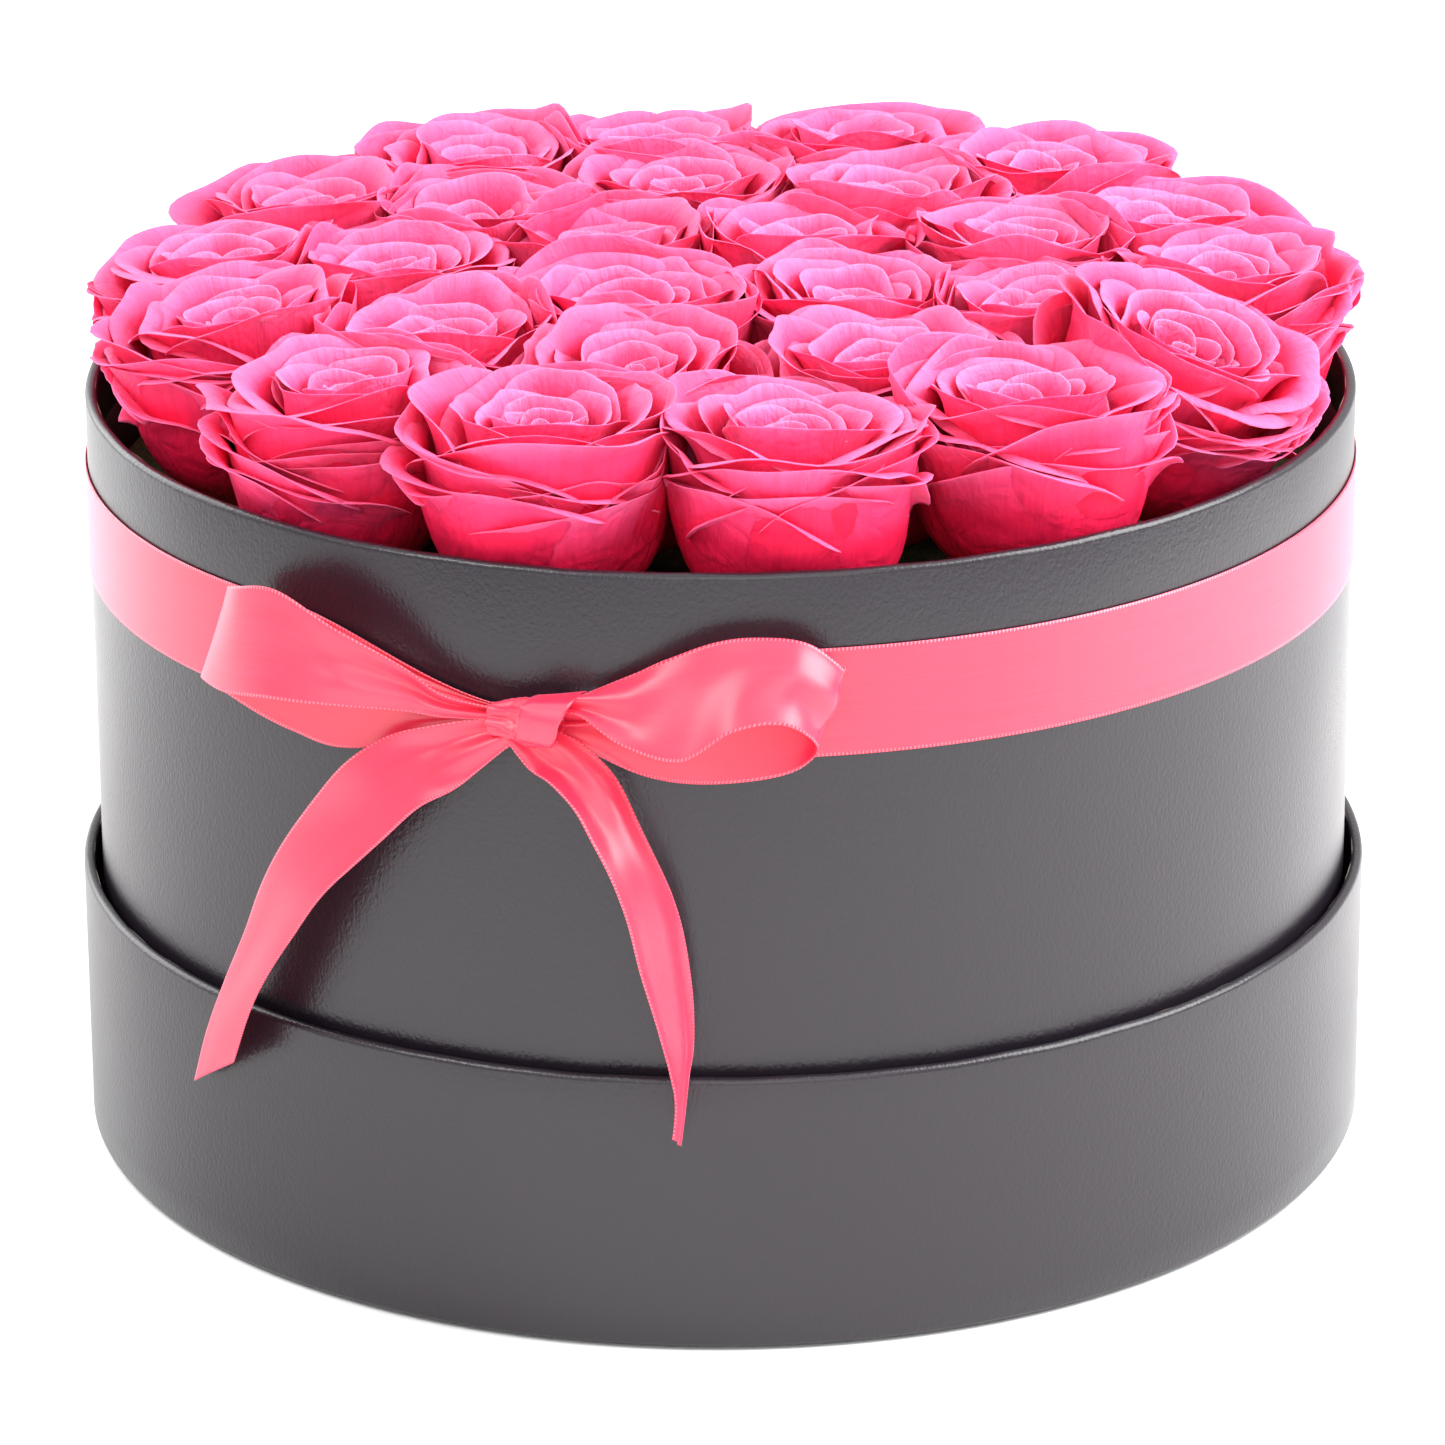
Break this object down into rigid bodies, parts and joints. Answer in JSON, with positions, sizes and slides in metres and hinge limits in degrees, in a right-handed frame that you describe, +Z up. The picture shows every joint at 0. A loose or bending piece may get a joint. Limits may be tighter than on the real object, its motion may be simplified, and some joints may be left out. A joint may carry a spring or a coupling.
{
  "type": "flower box",
  "caption": "Round black paper hat box standing in its upturned lid, filled with preserved roses on foam and tied round with a satin ribbon and bow.",
  "frame": {"origin": "centre of the underside of the upturned lid, on the surface that the part stands on", "axes": "+Z up through the middle of the box; -Y towards the bow, which is the front; +X to the right of someone who faces the bow"},
  "size_m": [0.309, 0.3317, 0.2091],
  "materials": {
    "embossed_paper": "satin",
    "lining_paper": "matte",
    "grey_board": "matte",
    "corrugated_board": "matte",
    "dry_foam": "matte",
    "satin_ribbon": "satin",
    "rose_petals": "satin"
  },
  "bodies": {
    "lid": {"lid_wall": "grey_board", "lid_panel": "grey_board", "lid_wrap": "embossed_paper", "lid_panel_paper": "embossed_paper", "lid_lining": "lining_paper"},
    "box": {"box_wall": "grey_board", "box_floor": "grey_board", "box_wrap": "embossed_paper", "box_floor_paper": "embossed_paper", "box_lining": "lining_paper", "ribbon_band": "satin_ribbon", "bow_knot": "satin_ribbon", "bow_loop_left": "satin_ribbon", "bow_loop_right": "satin_ribbon", "bow_tail_left": "satin_ribbon", "bow_tail_right": "satin_ribbon"},
    "insert": {"riser_collar": "corrugated_board", "riser_deck": "corrugated_board", "foam_block": "dry_foam", "rose_01": "rose_petals", "rose_02": "rose_petals", "rose_03": "rose_petals", "rose_04": "rose_petals", "rose_05": "rose_petals", "rose_06": "rose_petals", "rose_07": "rose_petals", "rose_08": "rose_petals", "rose_09": "rose_petals", "rose_10": "rose_petals", "rose_11": "rose_petals", "rose_12": "rose_petals", "rose_13": "rose_petals", "rose_14": "rose_petals", "rose_15": "rose_petals", "rose_16": "rose_petals", "rose_17": "rose_petals", "rose_18": "rose_petals", "rose_19": "rose_petals", "rose_20": "rose_petals", "rose_21": "rose_petals", "rose_22": "rose_petals", "rose_23": "rose_petals", "rose_24": "rose_petals", "rose_25": "rose_petals", "rose_26": "rose_petals", "rose_27": "rose_petals"}
  },
  "joints": [
    {"name": "box_lift", "type": "slide", "parent": "lid", "child": "box", "axis": [0, 0, 1], "range_m": [0, 0.09]},
    {"name": "insert_lift", "type": "slide", "parent": "box", "child": "insert", "axis": [0, 0, 1], "range_m": [0, 0.19]}
  ]
}
